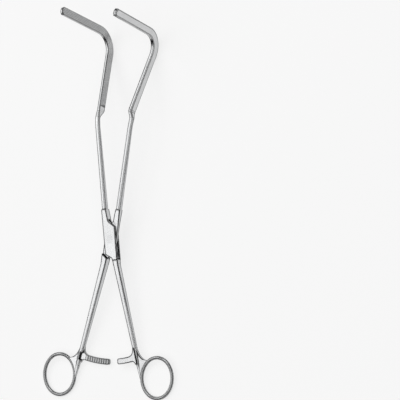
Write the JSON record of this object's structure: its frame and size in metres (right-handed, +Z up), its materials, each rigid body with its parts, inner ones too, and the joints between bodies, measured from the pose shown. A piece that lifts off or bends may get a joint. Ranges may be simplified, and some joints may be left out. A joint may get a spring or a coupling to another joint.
{
  "type": "rectal forceps",
  "caption": "Long ring-handled clamp with a riveted box lock, a finger ratchet and right-angled jaws with lengthwise serrations.",
  "frame": {"origin": "where the pivot axis of the box lock leaves the back face of the box", "axes": "+Z up as the clamp lies on a table on its rings and jaw heels, +Y from the finger rings to the jaws, X across the opening of the jaws"},
  "size_m": [0.132, 0.3092, 0.0643],
  "materials": {
    "satin_steel": "satin brushed surgical stainless steel",
    "pin_steel": "peened and polished flush with the box"
  },
  "bodies": {
    "box_body": {"box_half": "satin_steel", "box_lock_pin": "pin_steel"},
    "inset_body": {"inset_half": "satin_steel"}
  },
  "joints": [
    {"name": "box_lock", "type": "hinge", "parent": "box_body", "child": "inset_body", "pos_m": [0, -0.00021, 0.00249], "axis": [0, -0.0832, 0.9965], "range_deg": [-38, 16]}
  ]
}
